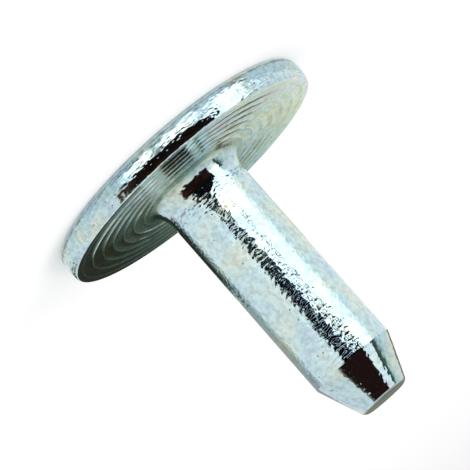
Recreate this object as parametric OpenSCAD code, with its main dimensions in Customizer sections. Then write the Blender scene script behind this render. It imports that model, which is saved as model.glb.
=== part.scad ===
// Solid rivet: a wide flat head, a plain round shank and a tapered end, cold
// headed and turned in one piece. It stands on the head's flat outer face.
// The origin is the centre of that face, and +Z runs up the shank.

/* [Head] */
// Diameter of the head across its bulged rim
head_d = 20; // [16:0.5:26]
// Thickness of the head, from outer face to underside
head_t = 1.7; // [1.2:0.1:2.4]
// Radius of the bulge of the rim, seen in section
rim_bulge_r = 2.8; // [2:0.1:6]
// Rounding between the rim and the outer face
outer_edge_r = 0.35; // [0.1:0.05:0.5]
// Rounding between the rim and the underside
under_edge_r = 0.12; // [0.04:0.02:0.2]

/* [Turned rings under the head] */
// Distance from one ring's crest to the next
ring_pitch = 0.86; // [0.5:0.02:1.6]
// Depth of the hollow between two crests
ring_depth = 0.06; // [0.02:0.01:0.1]
// Width of the flat left on each crest
crest_w = 0.08; // [0.04:0.02:0.16]
// Plain band between the root fillet and the first hollow
inner_land_w = 0.18; // [0.1:0.02:0.6]
// Least width of the plain band outside the last hollow
outer_land_w = 0.3; // [0.2:0.05:0.8]

/* [Shank] */
// Diameter of the shank
shank_d = 6; // [4:0.5:9]
// Length from the underside of the head to the end of the rivet
under_head_l = 18.8; // [10:0.2:40]

/* [Root fillet] */
// Radius of the fillet where it runs up into the shank
root_shank_r = 1.9; // [1.2:0.1:2.6]
// Tighter radius where it runs out into the underside of the head
root_head_r = 0.85; // [0.4:0.05:1.15]

/* [Tapered end] */
// Length of the taper, with its crowned edge
taper_l = 3.2; // [2:0.1:4.5]
// Diameter at the small end of the taper
end_d = 3.6; // [2.4:0.1:3.8]
// Height of the crowned edge round the end face
end_crown_h = 0.25; // [0.1:0.05:0.4]
// Width of the crowned edge round the end face
end_crown_w = 0.5; // [0.3:0.05:0.8]

/* [Hidden] */
$fn = 180;
eps = 0.01;

head_r = head_d / 2;
shank_r = shank_d / 2;
end_r = end_d / 2;
total_l = head_t + under_head_l;

// Rim section: the bulge is centred on the head's thickness.
bulge_x = head_r - rim_bulge_r;
bulge_z = head_t / 2;

// Centre of a rounding of radius r that touches the bulge from inside and a
// face of the head, where z is the height of that centre.
function edge_centre(r, z) =
    [bulge_x + sqrt(pow(rim_bulge_r - r, 2) - pow(z - bulge_z, 2)), z];

// Where such a rounding touches the bulge.
function on_bulge(c) =
    let (from = [bulge_x, bulge_z])
    from + (c - from) * rim_bulge_r / norm(c - from);

outer_edge_c = edge_centre(outer_edge_r, outer_edge_r);
under_edge_c = edge_centre(under_edge_r, head_t - under_edge_r);

// Root fillet: two arcs that share a tangent where they meet. Both centres lie
// on a line along root_way through that place, about 37 degrees up.
root_way = [0.8, 0.6];
root_step = (root_shank_r - root_head_r) * root_way;
root_shank_c = [shank_r + root_shank_r, head_t + root_head_r + root_step[1]];
root_head_c = root_shank_c - root_step;
root_meet = root_shank_c - root_shank_r * root_way;

// Hollows between the rings: as many whole ones as fit between the two lands.
ring_from = root_head_c[0] + inner_land_w;
ring_to = under_edge_c[0] - outer_land_w;
ring_n = max(0, floor((ring_to - ring_from + crest_w) / ring_pitch));
hollow_w = ring_pitch - crest_w;
hollow_r = (pow(hollow_w / 2, 2) + pow(ring_depth, 2)) / (2 * ring_depth);

// Crowned edge of the end: an arc that runs out flush with the end face.
crown_r = (pow(end_crown_w, 2) + pow(end_crown_h, 2)) / (2 * end_crown_h);
crown_z = total_l - end_crown_h;

module steel() {
    color([0.78, 0.83, 0.84]) children();
}

// Half section of the head without its rings.
module head_section() {
    polygon([
        [0, 0],
        [outer_edge_c[0], 0],
        on_bulge(outer_edge_c),
        on_bulge(under_edge_c),
        [under_edge_c[0], head_t],
        [0, head_t]
    ]);
    translate(outer_edge_c) circle(r = outer_edge_r);
    translate(under_edge_c) circle(r = under_edge_r);
    rim_bulge();
}

// The part of the bulge's circle that lies between the two roundings.
module rim_bulge() {
    intersection() {
        translate([bulge_x, bulge_z]) circle(r = rim_bulge_r);
        polygon([
            [bulge_x, bulge_z],
            2 * on_bulge(outer_edge_c) - [bulge_x, bulge_z],
            2 * on_bulge(under_edge_c) - [bulge_x, bulge_z]
        ]);
    }
}

// One hollow for each turn of the tool, cut into the underside.
module ring_hollows() {
    for (k = [0 : 1 : ring_n - 1])
        translate([ring_from + k * ring_pitch + hollow_w / 2, head_t + hollow_r - ring_depth])
            circle(r = hollow_r);
}

// Half section of the concave root fillet. The wider circle cuts only what
// lies above the line through both centres.
module root_fillet() {
    difference() {
        translate([0, head_t - eps])
            square([root_head_c[0], root_shank_c[1] - head_t + eps]);
        translate(root_head_c) circle(r = root_head_r);
        intersection() {
            translate(root_shank_c) circle(r = root_shank_r);
            polygon([
                root_shank_c,
                2 * root_meet - root_shank_c,
                root_shank_c + root_shank_r * [-2, 1],
                root_shank_c + root_shank_r * [0, 1]
            ]);
        }
    }
}

// Half section of the plain shank.
module shank_section() {
    translate([0, head_t - eps]) square([shank_r, under_head_l - taper_l + eps]);
}

// Half section of the taper and the crowned edge of the end.
module end_section() {
    polygon([
        [0, total_l - taper_l - eps],
        [shank_r, total_l - taper_l - eps],
        [shank_r, total_l - taper_l],
        [end_r, crown_z],
        [end_r - end_crown_w, crown_z + eps],
        [0, crown_z + eps]
    ]);
    intersection() {
        translate([end_r - end_crown_w, total_l - crown_r]) circle(r = crown_r);
        translate([end_r - end_crown_w, crown_z])
            square([end_crown_w + eps, end_crown_h + eps]);
    }
    translate([0, crown_z]) square([end_r - end_crown_w, end_crown_h]);
}

module rivet() {
    steel() rotate_extrude() {
        difference() {
            head_section();
            ring_hollows();
        }
        root_fillet();
        shank_section();
        end_section();
    }
}

rivet();
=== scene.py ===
import math
import bpy
from mathutils import Matrix, Vector


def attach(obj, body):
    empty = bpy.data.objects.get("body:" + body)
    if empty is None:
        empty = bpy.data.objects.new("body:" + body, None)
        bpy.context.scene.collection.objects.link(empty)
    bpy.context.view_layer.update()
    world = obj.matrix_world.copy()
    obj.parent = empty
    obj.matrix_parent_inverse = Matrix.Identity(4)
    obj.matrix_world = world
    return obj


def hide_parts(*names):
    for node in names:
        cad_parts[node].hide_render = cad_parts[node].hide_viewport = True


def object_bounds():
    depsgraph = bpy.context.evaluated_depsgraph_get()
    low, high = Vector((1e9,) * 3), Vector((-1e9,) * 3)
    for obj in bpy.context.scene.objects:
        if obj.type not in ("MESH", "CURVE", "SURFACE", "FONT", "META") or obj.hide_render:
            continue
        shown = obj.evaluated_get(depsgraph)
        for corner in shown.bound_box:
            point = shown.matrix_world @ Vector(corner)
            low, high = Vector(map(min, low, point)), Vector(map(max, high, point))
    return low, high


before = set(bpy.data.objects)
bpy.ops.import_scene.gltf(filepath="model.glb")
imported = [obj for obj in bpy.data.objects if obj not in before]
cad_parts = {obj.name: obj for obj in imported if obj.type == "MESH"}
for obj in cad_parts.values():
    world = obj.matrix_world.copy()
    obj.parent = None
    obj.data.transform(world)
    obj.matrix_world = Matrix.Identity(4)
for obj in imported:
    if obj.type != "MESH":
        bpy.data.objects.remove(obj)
cadLow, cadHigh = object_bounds()
mm = 0.001
print("frame loaded")


def deselectAll():
    bpy.ops.object.select_all(action="DESELECT")


def hexColour(code):
    # sRGB hex, as picked on screen, to the linear values the shader works in
    channels = [int(code[i:i + 2], 16) / 255 for i in (1, 3, 5)]
    linear = [c / 12.92 if c <= 0.04045 else ((c + 0.055) / 1.055) ** 2.4 for c in channels]
    return (*linear, 1.0)


def addNode(material, kind, settings=None, out=0, **links):
    # settings: attributes, or sockets by name or number; a ramp is a list of (place, hex)
    # links: sockets by name, or by _ and number; returns one output of the new node
    node = material.node_tree.nodes.new(kind)
    for name, value in (settings or {}).items():
        if name == "ramp":
            stops = node.color_ramp.elements
            for k, (place, code) in enumerate(value):
                stop = stops[k] if k < 2 else stops.new(place)
                stop.position = place
                stop.color = hexColour(code)
        elif isinstance(name, str) and hasattr(node, name):
            setattr(node, name, value)
        else:
            node.inputs[name].default_value = value
    for name, source in links.items():
        socket = node.inputs[int(name[1:])] if name[0] == "_" else node.inputs[name.replace("_", " ")]
        material.node_tree.links.new(source, socket)
    return node.outputs[out] if node.outputs else node


def newMaterial(name):
    material = bpy.data.materials.new(name)
    material.use_nodes = True
    material.node_tree.nodes.clear()
    return material


rivetSize = {
    "headThick": 1.7 * mm,
    "rimBulge": 2.8 * mm,
    "outerEdge": 0.35 * mm,
    "underEdge": 0.12 * mm,
    "ringPitch": 0.86 * mm,
    "ringDepth": 0.06 * mm,
    "crestWidth": 0.08 * mm,
    "innerLand": 0.18 * mm,
    "ringCount": 6,
    "shankRadius": 3.0 * mm,
    "rootShankSide": 1.9 * mm,
    "rootHeadSide": 0.85 * mm,
    "rootWay": (0.8, 0.6),
    "taperLength": 3.2 * mm,
    "endRadius": 1.8 * mm,
    "crownHeight": 0.25 * mm,
    "crownWidth": 0.5 * mm,
    "turns": 320,
    # edges that turn by more degrees than this stay sharp
    "smoothAngle": 18,
    # straight steps in each stretch of the section
    "steps": {"outerFace": 6, "outerEdge": 8, "bulge": 12, "underEdge": 6, "hollow": 8, "root": 10,
              "shank": 12, "taper": 4, "crown": 8, "endFace": 4},
}
# rootWay is the direction between the centres of the two root arcs, as (out, up)
rootStep = [(rivetSize["rootShankSide"] - rivetSize["rootHeadSide"]) * way for way in rivetSize["rootWay"]]
rootReach = rivetSize["shankRadius"] + rivetSize["rootShankSide"] - rootStep[0]
rootHeight = rivetSize["headThick"] + rivetSize["rootHeadSide"] + rootStep[1]


def arc(centre, radius, start, stop, steps):
    # points on an arc, angles in radians from the +r axis
    return [(centre[0] + radius * math.cos(start + (stop - start) * k / steps),
             centre[1] + radius * math.sin(start + (stop - start) * k / steps)) for k in range(steps + 1)]


def rivetSection(size):
    # half section from the middle of the outer face, round the rim and up to the end
    steps = size["steps"]
    headRadius = cadHigh.x
    length = cadHigh.z
    thick = size["headThick"]
    bulge = size["rimBulge"]
    middle = (headRadius - bulge, thick / 2)
    # centres of the roundings that touch the bulge from inside
    edges = []
    for radius, z in ((size["outerEdge"], size["outerEdge"]),
                      (size["underEdge"], thick - size["underEdge"])):
        reach = middle[0] + math.sqrt((bulge - radius) ** 2 - (z - middle[1]) ** 2)
        edges.append(((reach, z), radius, math.atan2(z - middle[1], reach - middle[0])))
    (outer, outerRadius, outerAngle), (under, underRadius, underAngle) = edges
    points = [(outer[0] * k / steps["outerFace"], 0) for k in range(steps["outerFace"])]
    points += arc(outer, outerRadius, -math.pi / 2, outerAngle, steps["outerEdge"])
    points += arc(middle, bulge, outerAngle, underAngle, steps["bulge"])[1:]
    points += arc(under, underRadius, underAngle, math.pi / 2, steps["underEdge"])[1:]
    # hollows between the rings, walked from the rim inwards
    hollow = size["ringPitch"] - size["crestWidth"]
    radius = ((hollow / 2) ** 2 + size["ringDepth"] ** 2) / (2 * size["ringDepth"])
    half = math.asin(hollow / 2 / radius)
    for k in reversed(range(size["ringCount"])):
        reach = rootReach + size["innerLand"] + k * size["ringPitch"] + hollow / 2
        centre = (reach, thick + radius - size["ringDepth"])
        points += arc(centre, radius, -math.pi / 2 + half, -math.pi / 2 - half, steps["hollow"])
    # root fillet: a tight arc off the head, then a wide one into the shank
    meet = math.atan2(size["rootWay"][1], size["rootWay"][0])
    headSide = (rootReach, thick + size["rootHeadSide"])
    shankSide = (size["shankRadius"] + size["rootShankSide"], rootHeight)
    points += arc(headSide, size["rootHeadSide"], -math.pi / 2, meet - math.pi, steps["root"])
    points += arc(shankSide, size["rootShankSide"], meet - math.pi, -math.pi, steps["root"])[1:]
    shank = size["shankRadius"]
    taperFrom = length - size["taperLength"]
    points += [(shank, rootHeight + (taperFrom - rootHeight) * k / steps["shank"])
               for k in range(1, steps["shank"] + 1)]
    crownBase = length - size["crownHeight"]
    points += [(shank + (size["endRadius"] - shank) * k / steps["taper"],
                taperFrom + (crownBase - taperFrom) * k / steps["taper"])
               for k in range(1, steps["taper"] + 1)]
    crown = (size["crownWidth"] ** 2 + size["crownHeight"] ** 2) / (2 * size["crownHeight"])
    crownCentre = (size["endRadius"] - size["crownWidth"], length - crown)
    crownFrom = math.asin((crownBase - crownCentre[1]) / crown)
    points += arc(crownCentre, crown, crownFrom, math.pi / 2, steps["crown"])[1:]
    points += [(crownCentre[0] * (steps["endFace"] - k) / steps["endFace"], length)
               for k in range(1, steps["endFace"] + 1)]
    return points


def spinLine(name, points, steps, angle):
    # one vertex drawn along a line of (r, z) points, then spun about the upright axis
    deselectAll()
    bpy.ops.mesh.primitive_plane_add(size=mm, location=(points[0][0], 0, points[0][1]))
    turned = bpy.context.active_object
    turned.name = name
    bpy.ops.object.transform_apply(location=True, rotation=True, scale=True)
    bpy.ops.object.mode_set(mode="EDIT")
    bpy.ops.mesh.select_all(action="SELECT")
    bpy.ops.mesh.merge(type="CENTER")
    for here, there in zip(points, points[1:]):
        step = (there[0] - here[0], 0, there[1] - here[1])
        bpy.ops.mesh.extrude_region_move(TRANSFORM_OT_translate={"value": step})
    bpy.ops.mesh.select_all(action="SELECT")
    bpy.ops.mesh.spin(steps=steps, angle=angle, center=(0, 0, 0), axis=(0, 0, 1))
    bpy.ops.mesh.select_all(action="SELECT")
    bpy.ops.mesh.remove_doubles(threshold=0.0005 * mm)
    bpy.ops.mesh.normals_make_consistent(inside=False)
    bpy.ops.object.mode_set(mode="OBJECT")
    return turned


rivet = spinLine("rivet_zinc", rivetSection(rivetSize), rivetSize["turns"], 2 * math.pi)
bpy.ops.object.shade_smooth_by_angle(angle=math.radians(rivetSize["smoothAngle"]))
print("rivet turned:", len(rivet.data.vertices), "vertices")


zincLook = {
    "roughness": 0.06,
    "crestRoughness": 0.2,
    "endRoughness": 0.35,
    "endTint": "#857E6C",
    "cornerRoughness": 0.15,
    # darker olive tint of the corner under the head: painted shade
    "cornerShadeTint": "#B9BEAE",
    "filmPatch": 2.4 * mm,
    "film": [(0.32, "#C9D2DD"), (0.42, "#BFDAE2"), (0.51, "#C6DDDF"), (0.60, "#CCDDD7"), (0.72, "#D8DCCC")],
    "mottle": 0.36 * mm,
    "mottleFrom": 0.3,
    "mottleTo": 0.6,
    "mottleDark": 0.74,
    "hollowTint": "#D0C4A6",
    "hollowStreak": 0.5 * mm,
    "hollowStretch": 0.4,
    "hollowFrom": 0.35,
    "hollowTo": 0.62,
    # the warm tint is least at the rim and full inside this share of the head's radius
    "hollowLeast": 0.2,
    "hollowFull": 0.6,
    "pitSpacing": 0.9 * mm,
    "pitRadius": 0.09 * mm,
    # share of the radius that is fully dark
    "pitCore": 0.4,
    "pitDark": 0.3,
    "grain": 0.26 * mm,
    "grainSquash": 1.25,
    "grainHeight": 0.021 * mm,
    # share of the grain that each part of the rivet keeps
    "grainKeep": {"taper": 0.5, "face": 0.25, "rim": 0.9, "root": 0.6},
    "dent": 0.5 * mm,
    "dentSquash": 3.0,
    "dentHeight": 0.042 * mm,
    "crestLift": 0.015 * mm,
    "turningMark": 0.13 * mm,
    "turningMarkLength": 3.0 * mm,
    "turningMarkHeight": 0.004 * mm,
    # broken dark line round the rim: painted reflection of the contact shadow
    "shadowLineHeight": 0.42 * mm,
    "shadowLineWidth": 0.12 * mm,
    "shadowLineDark": 0.25,
    "shadowLineBreak": 1.6 * mm,
    "shadowLineFrom": 0.52,
    "shadowLineTo": 0.66,
}


def zoneMasks(material, place, size):
    # how far out and how high a point of the rivet lies, and masks worked out from them
    flat = addNode(material, "ShaderNodeVectorMath", {"operation": "MULTIPLY", 1: (1, 1, 0)}, _0=place)
    spot = {
        "reach": addNode(material, "ShaderNodeVectorMath", {"operation": "LENGTH"}, out="Value", _0=flat),
        "height": addNode(material, "ShaderNodeSeparateXYZ", out="Z", Vector=place),
    }
    ringTo = rootReach + size["innerLand"] + size["ringCount"] * size["ringPitch"]
    taperFrom = cadHigh.z - size["taperLength"]
    # what each mask follows, where it is 0 and where it is 1
    limits = {
        "under": ("height", size["headThick"] + 0.2 * mm, size["headThick"] + 0.05 * mm),
        "above": ("height", size["headThick"] - 0.3 * mm, size["headThick"] - 0.15 * mm),
        "inside": ("reach", ringTo + 0.15 * mm, ringTo),
        "outside": ("reach", rootReach, rootReach + 0.15 * mm),
        "rim": ("reach", cadHigh.x - 0.5 * mm, cadHigh.x - 0.15 * mm),
        "root": ("height", rootHeight + 0.6 * mm, rootHeight),
        "taper": ("height", taperFrom - 0.1 * mm, taperFrom + 0.2 * mm),
        "end": ("height", cadHigh.z - size["crownHeight"], cadHigh.z - size["crownHeight"] / 2),
        "low": ("height", size["headThick"] + 0.45 * mm, size["headThick"] + 0.1 * mm),
        "near": ("reach", rootReach + 0.18 * mm, rootReach),
    }
    zones = {}
    for name, (way, start, stop) in limits.items():
        zones[name] = addNode(material, "ShaderNodeMapRange", {"From Min": start, "From Max": stop},
                              Value=spot[way])
    zones["face"] = zones["under"]
    for name in ("above", "inside", "outside"):
        zones["face"] = addNode(material, "ShaderNodeMath", {"operation": "MULTIPLY"},
                                _0=zones["face"], _1=zones[name])
    # the corner where the root fillet meets the face: duller, and darkened there with painted shade
    zones["corner"] = addNode(material, "ShaderNodeMath", {"operation": "MULTIPLY"},
                              _0=zones["low"], _1=zones["near"])
    # how near the middle of a ring's crest: 0 as far as crestFar from it, 1 inside crestNear
    crestFar = 0.12 * mm
    crestNear = 0.02 * mm
    firstCrest = rootReach + size["innerLand"] - size["crestWidth"] / 2
    start = addNode(material, "ShaderNodeMath", {"operation": "SUBTRACT", 1: firstCrest}, _0=spot["reach"])
    away = addNode(material, "ShaderNodeMath", {"operation": "PINGPONG", 1: size["ringPitch"] / 2}, _0=start)
    crest = addNode(material, "ShaderNodeMapRange", {"From Min": crestFar, "From Max": crestNear},
                    Value=away)
    zones["crest"] = addNode(material, "ShaderNodeMath", {"operation": "MULTIPLY"},
                             _0=crest, _1=zones["face"])
    return {**spot, **zones}


def zincColour(material, place, zones, look):
    # passivate film: thin-film tints in patches
    film = addNode(material, "ShaderNodeTexNoise",
                   {"Scale": 1 / look["filmPatch"], "Detail": 3.0, "Roughness": 0.5}, Vector=place)
    colour = addNode(material, "ShaderNodeValToRGB", {"ramp": look["film"]}, Fac=film)
    # warmer between the rings, in streaks that follow them
    along = look["hollowStretch"]
    stretch = addNode(material, "ShaderNodeMapping", {"Scale": (along, along, 1)}, Vector=place)
    across = addNode(material, "ShaderNodeCombineXYZ", Z=zones["reach"])
    stretch = addNode(material, "ShaderNodeVectorMath", {"operation": "ADD"}, _0=stretch, _1=across)
    streak = addNode(material, "ShaderNodeTexNoise",
                     {"Scale": 1 / look["hollowStreak"], "Detail": 2.0, "Roughness": 0.6}, Vector=stretch)
    streak = addNode(material, "ShaderNodeMapRange",
                     {"From Min": look["hollowFrom"], "From Max": look["hollowTo"]}, Value=streak)
    hollow = addNode(material, "ShaderNodeMath", {"operation": "SUBTRACT"},
                     _0=zones["face"], _1=zones["crest"])
    hollow = addNode(material, "ShaderNodeMath", {"operation": "MULTIPLY"}, _0=hollow, _1=streak)
    # and more of it towards the shank
    inward = addNode(material, "ShaderNodeMapRange",
                     {"From Min": cadHigh.x, "From Max": look["hollowFull"] * cadHigh.x,
                      "To Min": look["hollowLeast"]}, Value=zones["reach"])
    hollow = addNode(material, "ShaderNodeMath", {"operation": "MULTIPLY"}, _0=hollow, _1=inward)
    # the sheared end takes less plate and is duller; the corner under the head is duller too, and its darker
    # olive tint is painted shade
    for where, tint in ((hollow, look["hollowTint"]), (zones["corner"], look["cornerShadeTint"]),
                        (zones["end"], look["endTint"])):
        colour = addNode(material, "ShaderNodeMix", {"data_type": "RGBA", "blend_type": "MULTIPLY",
                         7: hexColour(tint)}, out=2, _0=where, _6=colour)
    # crystal mottling of the plate, drawn coarser than real so as to show
    mottle = addNode(material, "ShaderNodeTexNoise",
                     {"Scale": 1 / look["mottle"], "Detail": 2.0, "Roughness": 0.6}, Vector=place)
    shade = addNode(material, "ShaderNodeMapRange",
                    {"From Min": look["mottleFrom"], "From Max": look["mottleTo"],
                     "To Min": look["mottleDark"]}, Value=mottle)
    colour = addNode(material, "ShaderNodeVectorMath", {"operation": "SCALE"}, _0=colour, Scale=shade)
    # small pits
    pit = addNode(material, "ShaderNodeTexVoronoi", {"Scale": 1 / look["pitSpacing"]}, Vector=place)
    reach = look["pitRadius"] / look["pitSpacing"]
    pit = addNode(material, "ShaderNodeMapRange",
                  {"From Min": look["pitCore"] * reach, "From Max": reach, "To Min": look["pitDark"]},
                  Value=pit)
    colour = addNode(material, "ShaderNodeVectorMath", {"operation": "SCALE"}, _0=colour, Scale=pit)
    # broken dark line round the rim: a painted reflection of the floor's contact shadow
    line = addNode(material, "ShaderNodeMath", {"operation": "SUBTRACT", 1: look["shadowLineHeight"]},
                   _0=zones["height"])
    line = addNode(material, "ShaderNodeMath", {"operation": "ABSOLUTE"}, _0=line)
    line = addNode(material, "ShaderNodeMapRange", {"From Min": look["shadowLineWidth"], "From Max": 0.0},
                   Value=line)
    broken = addNode(material, "ShaderNodeTexNoise",
                     {"Scale": 1 / look["shadowLineBreak"], "Detail": 2.0, "Roughness": 0.7}, Vector=place)
    broken = addNode(material, "ShaderNodeMapRange",
                     {"From Min": look["shadowLineFrom"], "From Max": look["shadowLineTo"]}, Value=broken)
    line = addNode(material, "ShaderNodeMath", {"operation": "MULTIPLY"}, _0=line, _1=broken)
    line = addNode(material, "ShaderNodeMath", {"operation": "MULTIPLY"}, _0=line, _1=zones["rim"])
    line = addNode(material, "ShaderNodeMapRange", {"To Min": 1.0, "To Max": look["shadowLineDark"]},
                   Value=line)
    return addNode(material, "ShaderNodeVectorMath", {"operation": "SCALE"}, _0=colour, Scale=line)


def zincBumps(material, place, zones, look):
    # grain of the forged wire under the plate, longer round the rivet than along it and
    # drawn coarser than real so as to show
    squash = addNode(material, "ShaderNodeMapping", {"Scale": (1, 1, look["grainSquash"])}, Vector=place)
    grain = addNode(material, "ShaderNodeTexNoise", {"Scale": 1 / look["grain"], "Detail": 0.0},
                    Vector=squash)
    for zone, keep in look["grainKeep"].items():
        calm = addNode(material, "ShaderNodeMapRange", {"To Min": 1.0, "To Max": keep}, Value=zones[zone])
        grain = addNode(material, "ShaderNodeMath", {"operation": "MULTIPLY"}, _0=grain, _1=calm)
    # dents along the rim, where the head was upset between the dies
    flatten = addNode(material, "ShaderNodeMapping", {"Scale": (1, 1, look["dentSquash"])}, Vector=place)
    dents = addNode(material, "ShaderNodeTexNoise",
                    {"Scale": 1 / look["dent"], "Detail": 1.0, "Roughness": 0.5}, Vector=flatten)
    dents = addNode(material, "ShaderNodeMath", {"operation": "MULTIPLY"}, _0=dents, _1=zones["rim"])
    # turning marks of the heading die, long round the head and fine across it
    length = 1 / look["turningMarkLength"]
    marks = addNode(material, "ShaderNodeMapping", {"Scale": (length, length, 0)}, Vector=place)
    across = addNode(material, "ShaderNodeMath", {"operation": "DIVIDE", 1: look["turningMark"]},
                     _0=zones["reach"])
    across = addNode(material, "ShaderNodeCombineXYZ", Z=across)
    marks = addNode(material, "ShaderNodeVectorMath", {"operation": "ADD"}, _0=marks, _1=across)
    marks = addNode(material, "ShaderNodeTexNoise", {"Scale": 1.0, "Detail": 2.0, "Roughness": 0.6},
                    Vector=marks)
    marks = addNode(material, "ShaderNodeMath", {"operation": "MULTIPLY"}, _0=marks, _1=zones["face"])
    # each entry: height of the bump in metres, and its pattern
    normal = None
    for height, pattern in ((look["grainHeight"], grain), (look["dentHeight"], dents),
                            (look["crestLift"], zones["crest"]), (look["turningMarkHeight"], marks)):
        under = {"Normal": normal} if normal else {}
        normal = addNode(material, "ShaderNodeBump", {"Distance": height}, Height=pattern, **under)
    return normal


def brightZinc(look, size):
    # bright zinc plate with a clear blue passivate: a cold mirror with faint cyan, lilac and
    # straw tints, on cold-headed steel whose grain breaks up each reflection's edge
    material = newMaterial("bright zinc plate, clear blue passivate")
    place = addNode(material, "ShaderNodeTexCoord", out="Object")
    zones = zoneMasks(material, place, size)
    rough = addNode(material, "ShaderNodeMapRange",
                    {"To Min": look["roughness"], "To Max": look["crestRoughness"]}, Value=zones["crest"])
    for zone in ("corner", "end"):
        rough = addNode(material, "ShaderNodeMath",
                        {"operation": "MULTIPLY_ADD", 1: look[zone + "Roughness"]},
                        _0=zones[zone], _2=rough)
    shader = addNode(material, "ShaderNodeBsdfPrincipled", {"Metallic": 1.0}, Roughness=rough,
                     Base_Color=zincColour(material, place, zones, look),
                     Normal=zincBumps(material, place, zones, look))
    addNode(material, "ShaderNodeOutputMaterial", Surface=shader)
    return material


rivet.data.materials.append(brightZinc(zincLook, rivetSize))
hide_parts("rivet")
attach(rivet, "root")
print("zinc finish on")


floorLook = {
    "radius": 4.0,
    "sides": 96,
    "colour": "#F2F2F2",
    "cameraLift": 0.2,
    "glossLift": 0.22,
}


def makeFloor(look):
    deselectAll()
    bpy.ops.mesh.primitive_circle_add(vertices=look["sides"], radius=look["radius"], fill_type="NGON")
    floor = bpy.context.active_object
    floor.name = "floor"
    material = newMaterial("matt white paper")
    paper = addNode(material, "ShaderNodeBsdfDiffuse", {"Color": hexColour(look["colour"])})
    # lifted to white where the camera or the metal looks at it, with the shadow kept
    for ray, lift in (("Is Camera Ray", look["cameraLift"]), ("Is Glossy Ray", look["glossLift"])):
        seen = addNode(material, "ShaderNodeLightPath", out=ray)
        strength = addNode(material, "ShaderNodeMapRange", {"To Max": lift}, Value=seen)
        glow = addNode(material, "ShaderNodeEmission", Strength=strength)
        paper = addNode(material, "ShaderNodeAddShader", _0=paper, _1=glow)
    addNode(material, "ShaderNodeOutputMaterial", Surface=paper)
    floor.data.materials.append(material)


makeFloor(floorLook)

# strength of each card and its colour; a graded one has, in place of the colour, what it is
# graded along (angle in degrees or height in mm), where that starts and stops, and its ramp
cardFinish = {
    "black cloth": (1.0, "#0B0E10"),
    "brown black cloth": (1.0, "#20120F"),
    "blue black paper": (1.0, "#121B28"),
    "teal black paper": (1.0, "#22393F"),
    "grey card": (1.0, "#AEB3B0"),
    "grey olive card": (1.0, "#7F7F70"),
    "soft window": (1.25, "#FFFFFF"),
    "window": (1.8, "#FFFFFF"),
    "white ceiling": (1.3, "#FFFFFF"),
    "dim room": (1.0, "height", 0, 393,
                 [(0.0, "#080A0C"), (0.2, "#120D0C"), (0.42, "#341E18"), (0.6, "#2A1816"),
                  (0.9, "#2A1816"), (1.0, "#5C524D")]),
    "room end": (1.0, "angle", 34, 50, [(0.0, "#20120F"), (0.5, "#3A2C26"), (1.0, "#A79E95")]),
    "window side": (1.0, "angle", -108, -73,
                    [(0.0, "#EEF8FA"), (0.45, "#CFE2E2"), (0.7, "#5E726B"), (0.9, "#39463F"),
                     (1.0, "#5E6A66")]),
    "rim glow left": (2.2, "angle", -46, -24,
                      [(0.0, "#B4BEC2"), (0.3, "#FFFFFF"), (0.8, "#FFFFFF"), (1.0, "#B4BEC2")]),
    "rim glow": (2.2, "angle", -22, 24,
                 [(0.0, "#A9B3B8"), (0.12, "#FFFFFF"), (0.45, "#FFFFFF"), (0.55, "#8E9A9C"),
                  (0.65, "#FFFFFF"), (0.88, "#F4F8F4"), (1.0, "#A9B3B8")]),
    "window fading": (1.8, "angle", -86, -68, [(0.0, "#BCC6C8"), (1.0, "#FFFFFF")]),
    "navy paper": (1.0, "angle", -15, 17,
                   [(0.0, "#1D355A"), (0.3, "#111B2C"), (0.65, "#0A0F14")]),
    "browning cloth": (1.0, "angle", 6, 29,
                       [(0.0, "#100E0F"), (0.5, "#20120F"), (1.0, "#5E4638")]),
    "rim paper": (1.0, "angle", 38, 62, [(0.0, "#DFE9F0"), (1.0, "#F4F8F6")]),
    "dark side": (1.0, "angle", 107, 152,
                  [(0.0, "#E2EAEA"), (0.15, "#A5B1AE"), (0.3, "#4A5652"), (0.42, "#262F2C"),
                   (0.85, "#2C3733"), (1.0, "#8A928E")]),
    "mid side": (1.0, "angle", 109, 152,
                 [(0.0, "#E2EAEA"), (0.3, "#7A8581"), (0.5, "#545E5A"), (0.8, "#545E5A"), (1.0, "#9AA19D")]),
    "pale side": (1.0, "angle", 108, 155,
                  [(0.0, "#E6EEEE"), (0.35, "#AEB6B3"), (1.0, "#B4BAB7")]),
    "canopy": (1.0, "height", 6.0, 8.6,
               [(0.0, "#444E47"), (0.45, "#76877F"), (1.0, "#D2DFDB")]),
}


def cardMaterial(name, finish):
    material = newMaterial(name)
    strength, *colouring = finish
    settings = {"Strength": strength}
    links = {}
    if len(colouring) == 1:
        settings["Color"] = hexColour(colouring[0])
    else:
        way, start, stop, ramp = colouring
        place = addNode(material, "ShaderNodeTexCoord", out="Object")
        across = addNode(material, "ShaderNodeSeparateXYZ", out="X", Vector=place)
        toCamera = addNode(material, "ShaderNodeMath", {"operation": "MULTIPLY", 1: -1.0},
                           _0=addNode(material, "ShaderNodeSeparateXYZ", out="Y", Vector=place))
        if way == "angle":
            spot = addNode(material, "ShaderNodeMath", {"operation": "ARCTAN2"}, _0=across, _1=toCamera)
            start, stop = math.radians(start), math.radians(stop)
        else:
            spot = addNode(material, "ShaderNodeSeparateXYZ", out="Z", Vector=place)
            start, stop = start * mm, stop * mm
        spread = addNode(material, "ShaderNodeMapRange", {"From Min": start, "From Max": stop}, Value=spot)
        links["Color"] = addNode(material, "ShaderNodeValToRGB", {"ramp": ramp}, Fac=spread)
    shader = addNode(material, "ShaderNodeEmission", settings, **links)
    addNode(material, "ShaderNodeOutputMaterial", Surface=shader)
    return material


# back wall: cream at -X, through teal to dark at +X; lean slants its bands with height
wallLook = {
    "lean": 1.0,
    "from": -12.0 * mm,
    "to": 3.5 * mm,
    "ramp": [(0.0, "#EEF4DE"), (0.09, "#E4EBDC"), (0.18, "#DCEAE8"), (0.3, "#BAD0CB"), (0.45, "#8FA39D"),
             (0.58, "#6B7D74"), (0.72, "#56665D"), (0.88, "#4B584E"), (1.0, "#34372D")],
}


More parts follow.
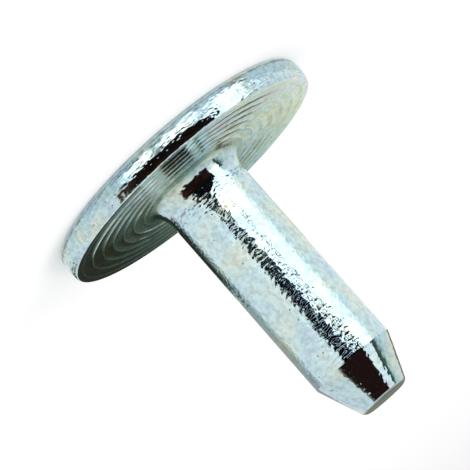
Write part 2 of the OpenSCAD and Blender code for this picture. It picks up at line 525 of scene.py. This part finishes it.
def wallMaterial(name, look):
    material = newMaterial(name)
    place = addNode(material, "ShaderNodeTexCoord", out="Object")
    across = addNode(material, "ShaderNodeSeparateXYZ", out="X", Vector=place)
    height = addNode(material, "ShaderNodeSeparateXYZ", out="Z", Vector=place)
    lean = addNode(material, "ShaderNodeMath", {"operation": "MULTIPLY_ADD", 1: -look["lean"]},
                   _0=height, _2=across)
    spread = addNode(material, "ShaderNodeMapRange", {"From Min": look["from"], "From Max": look["to"]},
                     Value=lean)
    colour = addNode(material, "ShaderNodeValToRGB", {"ramp": look["ramp"]}, Fac=spread)
    shader = addNode(material, "ShaderNodeEmission", Color=colour)
    addNode(material, "ShaderNodeOutputMaterial", Surface=shader)
    return material


# degrees between the folds of a bent card
cardStep = 4
# each card: the two angles it spans about the rivet, in degrees from the camera's side and
# positive towards +X; its line of (reach, height) in mm; its finish
cards = {
    # above the horizon
    "room": ((-45, 16), [(400, 0), (400, 250), (330, 393)], "dim room"),
    "room_side": ((16, 34), [(400, 48), (400, 250), (330, 393)], "dim room"),
    "room_corner": ((34, 50), [(400, 48), (400, 250), (360, 330)], "room end"),
    "window_high": ((-73, -46), [(300, 0), (300, 180)], "window"),
    "window_top": ((-73, -46), [(300, 180), (300, 250)], "soft window"),
    "window_frame": ((-108, -73), [(300, 90), (300, 320)], "window side"),
    "ceiling": ((100, 260), [(300, 270), (150, 560)], "white ceiling"),
    "olive_back": ((165, 215), [(30, 18), (30, 30)], "grey olive card"),
    # close in front of the root fillet
    "root_wide": ((-27, 19), [(4.42, 2.92), (4.42, 3.0)], "black cloth"),
    "root_mid": ((-22, 11), [(4.4, 2.84), (4.4, 3.05)], "black cloth"),
    "root_narrow": ((-13, 9), [(4.4, 3.05), (4.4, 3.26)], "brown black cloth"),
    # close in front of the rim
    "strip_mid": ((-14, 18), [(12, 0.62), (12, 0.86)], "black cloth"),
    "strip_wide": ((-19, 26.5), [(12, 0.86), (12, 1.12)], "browning cloth"),
    "strip_full": ((-21.5, 29), [(12, 1.12), (12, 1.75)], "browning cloth"),
    # on the floor, near the rim
    "rim_window": ((-46, -24), [(10.9, 0.1), (16, 0.1)], "rim glow left"),
    "rim_glare": ((-22, 24), [(10.9, 0.1), (16, 0.1)], "rim glow"),
    # the next three cards: dark strips on the floor at the rim's foot, a painted contact shadow that only
    # the metal shows
    "rim_contact_shadow": ((-46, -29), [(10.45, 0.1), (10.6, 0.1)], "teal black paper"),
    "rim_contact_shadow_b": ((-3, 23), [(10.45, 0.1), (10.62, 0.1)], "teal black paper"),
    "rim_edge_shadow": ((-115, 115), [(10.05, 0.02), (10.3, 0.02)], "grey card"),
    "rim_floor": ((-165, 165), [(10.3, 0.05), (17.5, 0.05)], "rim paper"),
    # on the floor, further out
    "tail_a": ((-12, 12), [(18, 0.1), (25.5, 0.1)], "teal black paper"),
    "tail_b": ((-12, 12), [(41, 0.1), (60, 0.1)], "teal black paper"),
    "tail_c": ((-14, 15), [(60, 0.1), (116, 0.1)], "navy paper"),
    "tail_d": ((-15, 18), [(136, 0.1), (395, 0.1)], "navy paper"),
    "window_low": ((-86, -42), [(16, 0.1), (300, 0.1)], "window fading"),
    "edge_a": ((-37, -34.8), [(30, 0.15), (395, 0.15)], "blue black paper"),
    "edge_b": ((-29, -26), [(75, 0.15), (395, 0.15)], "blue black paper"),
    "edge_c": ((-22, -19), [(75, 0.15), (395, 0.15)], "blue black paper"),
    "glare": ((-42, -13), [(16, 0.1), (395, 0.1)], "window"),
    "glare_left": ((19, 28), [(22, 0.1), (395, 0.1)], "soft window"),
    # the next two cards: a painted cast shadow of the rivet on the floor at the back, which only the metal
    # shows
    "side_near": ((104, 152), [(13, 0.1), (30, 0.1)], "dark side"),
    "side_mid": ((106, 152), [(30, 0.1), (62, 0.1)], "mid side"),
    "side_far": ((108, 155), [(62, 0.1), (395, 0.1)], "pale side"),
    # close behind the rivet
    "wall_left": ((125, 165), [(14, 1), (14, 6)], "back wall"),
    "canopy_left": ((125, 165), [(14, 6), (12, 7.2), (9, 8.6)], "canopy"),
    "wall_right": ((165, 222), [(14, 1), (14, 7.4)], "back wall"),
    "grey_left": ((135, 165), [(14, 7.2), (14, 20)], "grey card"),
}


def makeCard(name, angles, line, material):
    # the card's line swept between its angles; only the metal's reflections see it
    points = [(reach * mm, height * mm) for reach, height in line]
    sweep = math.radians(angles[1] - angles[0])
    card = spinLine(name, points, max(2, round((angles[1] - angles[0]) / cardStep)), sweep)
    # spin turns clockwise seen from above, so the line starts at the far angle
    card.data.transform(Matrix.Rotation(math.radians(angles[1] - 90), 4, "Z"))
    card.data.materials.append(material)
    card.visible_camera = False
    card.visible_diffuse = False
    card.visible_shadow = False
    card.visible_transmission = False


finishes = {name: cardMaterial(name, finish) for name, finish in cardFinish.items()}
finishes["back wall"] = wallMaterial("back wall", wallLook)
for name, (angles, line, finish) in cards.items():
    makeCard(name, angles, line, finishes[finish])


lampLook = {
    "place": (-900, -560, 1000),
    "aim": (0, 0, 8),
    "size": 900,
    "power": 6.0,
    "tent": 0.8,
    "tentInMetal": 0.95,
}


def softLight(name, look):
    deselectAll()
    bpy.ops.object.light_add(type="AREA", location=Vector(look["place"]) * mm)
    lamp = bpy.context.active_object
    lamp.name = name
    lamp.data.shape = "SQUARE"
    lamp.data.size = look["size"] * mm
    lamp.data.energy = look["power"]
    lamp.visible_camera = False
    lamp.visible_glossy = False
    lamp.rotation_euler = (Vector(look["aim"]) * mm - lamp.location).to_track_quat("-Z", "Y").to_euler()


softLight("key", lampLook)

world = bpy.data.worlds.new("light tent")
bpy.context.scene.world = world
world.use_nodes = True
world.node_tree.nodes.clear()
# white behind the rivet and near white in the metal, a little lower as a light
level = addNode(world, "ShaderNodeLightPath", out="Is Glossy Ray")
level = addNode(world, "ShaderNodeMapRange",
                {"To Min": lampLook["tent"], "To Max": lampLook["tentInMetal"]}, Value=level)
seen = addNode(world, "ShaderNodeLightPath", out="Is Camera Ray")
level = addNode(world, "ShaderNodeMath", {"operation": "MAXIMUM"}, _0=level, _1=seen)
tent = addNode(world, "ShaderNodeBackground", {"Color": hexColour("#FFFFFF")}, Strength=level)
addNode(world, "ShaderNodeOutputWorld", Surface=tent)
print("stage set")


cameraView = {
    "place": (0, -125.0, 28.36),
    "lookAt": (0.33, 0, 6.14),
    "roll": 221.39,
    "focalPixels": 1963.25,
    "picturePixels": 470,
    "sensorWidth": 36,
    "clipStart": 1 * mm,
    "clipEnd": 10,
}


def makeCamera(view):
    deselectAll()
    bpy.ops.object.camera_add()
    camera = bpy.context.active_object
    place = Vector(view["place"]) * mm
    ahead = (Vector(view["lookAt"]) * mm - place).normalized()
    right = ahead.cross(Vector((0, 0, 1))).normalized()
    down = ahead.cross(right)
    roll = math.radians(view["roll"])
    across = math.cos(roll) * right + math.sin(roll) * down
    upward = math.sin(roll) * right - math.cos(roll) * down
    turn = Matrix((across, upward, -ahead)).transposed()
    camera.matrix_world = Matrix.Translation(place) @ turn.to_4x4()
    camera.data.sensor_width = view["sensorWidth"]
    camera.data.lens = view["focalPixels"] / view["picturePixels"] * view["sensorWidth"]
    camera.data.clip_start = view["clipStart"]
    camera.data.clip_end = view["clipEnd"]
    bpy.context.scene.camera = camera


makeCamera(cameraView)
bpy.context.scene.view_settings.view_transform = "Standard"
